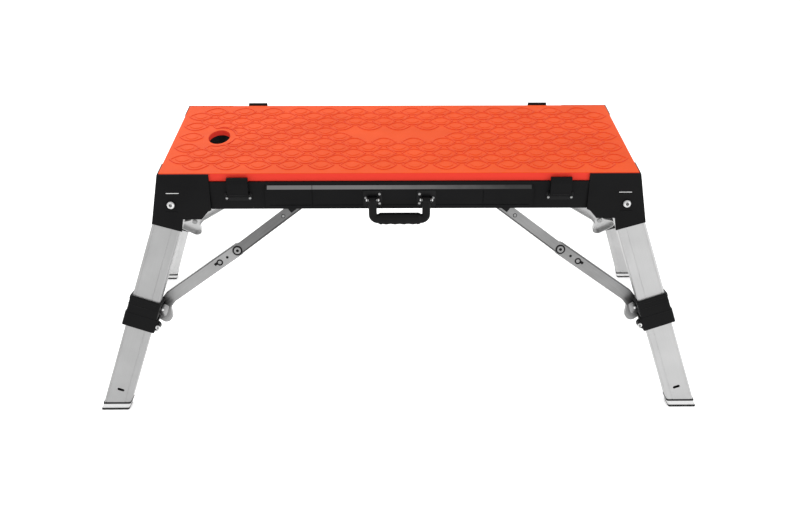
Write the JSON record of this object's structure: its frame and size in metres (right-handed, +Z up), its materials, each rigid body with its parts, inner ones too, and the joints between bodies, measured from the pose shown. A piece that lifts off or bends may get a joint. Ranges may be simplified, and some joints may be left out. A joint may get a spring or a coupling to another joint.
{
  "type": "folding work platform",
  "caption": "Folding work platform with a patterned deck, telescopic braced legs that fold under it, side latches and a carry handle.",
  "frame": {"origin": "centre of the bounding box on the floor plane", "axes": "+X along the deck, +Y to the back, away from the carry handle, +Z up"},
  "size_m": [1.3688, 0.5922, 0.551],
  "materials": {
    "deck_plastic": "satin moulded plastic with an embossed diamond pattern",
    "body_plastic": "fine-textured moulded plastic",
    "handle_plastic": "moulded plastic with a soft sheen",
    "foot_rubber": "dull rubber",
    "leg_aluminium": "satin anodised extrusion",
    "brace_steel": "zinc-plated pressed sheet",
    "black_steel": "black powder coat",
    "fastener_steel": "bright zinc plate"
  },
  "bodies": {
    "root": {"deck_panel": "deck_plastic", "frame_body": "body_plastic", "front_fascia_panel": "body_plastic", "rear_fascia_panel": "body_plastic", "corner_cap_front_left": "body_plastic", "corner_cap_front_right": "body_plastic", "corner_cap_rear_left": "body_plastic", "corner_cap_rear_right": "body_plastic", "leg_pivot_bolts": "fastener_steel", "brace_brackets": "black_steel", "brace_bracket_pins": "fastener_steel", "handle_brackets": "black_steel", "handle_pins": "fastener_steel", "handle_rivets": "fastener_steel", "latch_bases": "black_steel", "latch_pins": "fastener_steel", "latch_rivets": "fastener_steel"},
    "leg_front_left": {"leg_upper_tube_front_left": "leg_aluminium", "collar_front_left": "body_plastic", "collar_screw_front_left": "fastener_steel"},
    "leg_lower_front_left": {"leg_lower_tube_front_left": "leg_aluminium", "foot_front_left": "foot_rubber"},
    "brace_upper_front_left": {"brace_upper_link_front_left": "brace_steel", "knee_pin_front_left": "fastener_steel"},
    "brace_lower_front_left": {"brace_lower_link_front_left": "brace_steel", "brace_lower_fixings_front_left": "fastener_steel"},
    "latch_front_left": {"latch_front_left": "body_plastic"},
    "leg_front_right": {"leg_upper_tube_front_right": "leg_aluminium", "collar_front_right": "body_plastic", "collar_screw_front_right": "fastener_steel"},
    "leg_lower_front_right": {"leg_lower_tube_front_right": "leg_aluminium", "foot_front_right": "foot_rubber"},
    "brace_upper_front_right": {"brace_upper_link_front_right": "brace_steel", "knee_pin_front_right": "fastener_steel"},
    "brace_lower_front_right": {"brace_lower_link_front_right": "brace_steel", "brace_lower_fixings_front_right": "fastener_steel"},
    "latch_front_right": {"latch_front_right": "body_plastic"},
    "leg_rear_left": {"leg_upper_tube_rear_left": "leg_aluminium", "collar_rear_left": "body_plastic", "collar_screw_rear_left": "fastener_steel"},
    "leg_lower_rear_left": {"leg_lower_tube_rear_left": "leg_aluminium", "foot_rear_left": "foot_rubber"},
    "brace_upper_rear_left": {"brace_upper_link_rear_left": "brace_steel", "knee_pin_rear_left": "fastener_steel"},
    "brace_lower_rear_left": {"brace_lower_link_rear_left": "brace_steel", "brace_lower_fixings_rear_left": "fastener_steel"},
    "latch_rear_left": {"latch_rear_left": "body_plastic"},
    "leg_rear_right": {"leg_upper_tube_rear_right": "leg_aluminium", "collar_rear_right": "body_plastic", "collar_screw_rear_right": "fastener_steel"},
    "leg_lower_rear_right": {"leg_lower_tube_rear_right": "leg_aluminium", "foot_rear_right": "foot_rubber"},
    "brace_upper_rear_right": {"brace_upper_link_rear_right": "brace_steel", "knee_pin_rear_right": "fastener_steel"},
    "brace_lower_rear_right": {"brace_lower_link_rear_right": "brace_steel", "brace_lower_fixings_rear_right": "fastener_steel"},
    "latch_rear_right": {"latch_rear_right": "body_plastic"},
    "handle": {"handle": "handle_plastic"}
  },
  "joints": [
    {"name": "leg_fold_front_left", "type": "hinge", "parent": "root", "child": "leg_front_left", "pos_m": [-0.486, -0.182, 0.475], "axis": [0, -0.972, 0.2351], "range_deg": [0, 104]},
    {"name": "leg_extend_front_left", "type": "slide", "parent": "leg_front_left", "child": "leg_lower_front_left", "axis": [0.3234, 0.2225, 0.9197], "range_m": [0, 0.17]},
    {"name": "brace_hanger_front_left", "type": "hinge", "parent": "root", "child": "brace_upper_front_left", "pos_m": [-0.20646, -0.14592, 0.46252], "axis": [0, -0.972, 0.2351], "range_deg": [0, 143.7]},
    {"name": "brace_knee_front_left", "type": "hinge", "parent": "brace_upper_front_left", "child": "brace_lower_front_left", "pos_m": [-0.3594, -0.16816, 0.34932], "axis": [0, -0.972, 0.2351], "range_deg": [-185.44, 0]},
    {"name": "latch_flip_front_left", "type": "hinge", "parent": "root", "child": "latch_front_left", "pos_m": [-0.341, -0.2005, 0.501], "axis": [1, 0, 0], "range_deg": [0, 70]},
    {"name": "leg_fold_front_right", "type": "hinge", "parent": "root", "child": "leg_front_right", "pos_m": [0.486, -0.182, 0.475], "axis": [0, 0.972, -0.2351], "range_deg": [0, 104]},
    {"name": "leg_extend_front_right", "type": "slide", "parent": "leg_front_right", "child": "leg_lower_front_right", "axis": [-0.3234, 0.2225, 0.9197], "range_m": [0, 0.17]},
    {"name": "brace_hanger_front_right", "type": "hinge", "parent": "root", "child": "brace_upper_front_right", "pos_m": [0.20646, -0.14592, 0.46252], "axis": [0, 0.972, -0.2351], "range_deg": [0, 143.7]},
    {"name": "brace_knee_front_right", "type": "hinge", "parent": "brace_upper_front_right", "child": "brace_lower_front_right", "pos_m": [0.3594, -0.16816, 0.34932], "axis": [0, 0.972, -0.2351], "range_deg": [-185.44, 0]},
    {"name": "latch_flip_front_right", "type": "hinge", "parent": "root", "child": "latch_front_right", "pos_m": [0.341, -0.2005, 0.501], "axis": [1, 0, 0], "range_deg": [0, 70]},
    {"name": "leg_fold_rear_left", "type": "hinge", "parent": "root", "child": "leg_rear_left", "pos_m": [-0.486, 0.182, 0.475], "axis": [0, -0.972, -0.2351], "range_deg": [0, 104]},
    {"name": "leg_extend_rear_left", "type": "slide", "parent": "leg_rear_left", "child": "leg_lower_rear_left", "axis": [0.3234, -0.2225, 0.9197], "range_m": [0, 0.17]},
    {"name": "brace_hanger_rear_left", "type": "hinge", "parent": "root", "child": "brace_upper_rear_left", "pos_m": [-0.20646, 0.14592, 0.46252], "axis": [0, -0.972, -0.2351], "range_deg": [0, 143.7]},
    {"name": "brace_knee_rear_left", "type": "hinge", "parent": "brace_upper_rear_left", "child": "brace_lower_rear_left", "pos_m": [-0.3594, 0.16816, 0.34932], "axis": [0, -0.972, -0.2351], "range_deg": [-185.44, 0]},
    {"name": "latch_flip_rear_left", "type": "hinge", "parent": "root", "child": "latch_rear_left", "pos_m": [-0.341, 0.2005, 0.501], "axis": [-1, 0, 0], "range_deg": [0, 70]},
    {"name": "leg_fold_rear_right", "type": "hinge", "parent": "root", "child": "leg_rear_right", "pos_m": [0.486, 0.182, 0.475], "axis": [0, 0.972, 0.2351], "range_deg": [0, 104]},
    {"name": "leg_extend_rear_right", "type": "slide", "parent": "leg_rear_right", "child": "leg_lower_rear_right", "axis": [-0.3234, -0.2225, 0.9197], "range_m": [0, 0.17]},
    {"name": "brace_hanger_rear_right", "type": "hinge", "parent": "root", "child": "brace_upper_rear_right", "pos_m": [0.20646, 0.14592, 0.46252], "axis": [0, 0.972, 0.2351], "range_deg": [0, 143.7]},
    {"name": "brace_knee_rear_right", "type": "hinge", "parent": "brace_upper_rear_right", "child": "brace_lower_rear_right", "pos_m": [0.3594, 0.16816, 0.34932], "axis": [0, 0.972, 0.2351], "range_deg": [-185.44, 0]},
    {"name": "latch_flip_rear_right", "type": "hinge", "parent": "root", "child": "latch_rear_right", "pos_m": [0.341, 0.2005, 0.501], "axis": [-1, 0, 0], "range_deg": [0, 70]},
    {"name": "handle_swing", "type": "hinge", "parent": "root", "child": "handle", "pos_m": [0, -0.207, 0.493], "axis": [-1, 0, 0], "range_deg": [0, 90]}
  ],
  "couplings": [
    {"joint": "brace_hanger_front_left", "follows": "leg_fold_front_left", "ratio": 1.3798},
    {"joint": "brace_knee_front_left", "follows": "leg_fold_front_left", "ratio": -1.7811},
    {"joint": "brace_hanger_front_right", "follows": "leg_fold_front_right", "ratio": 1.3798},
    {"joint": "brace_knee_front_right", "follows": "leg_fold_front_right", "ratio": -1.7811},
    {"joint": "brace_hanger_rear_left", "follows": "leg_fold_rear_left", "ratio": 1.3798},
    {"joint": "brace_knee_rear_left", "follows": "leg_fold_rear_left", "ratio": -1.7811},
    {"joint": "brace_hanger_rear_right", "follows": "leg_fold_rear_right", "ratio": 1.3798},
    {"joint": "brace_knee_rear_right", "follows": "leg_fold_rear_right", "ratio": -1.7811}
  ]
}
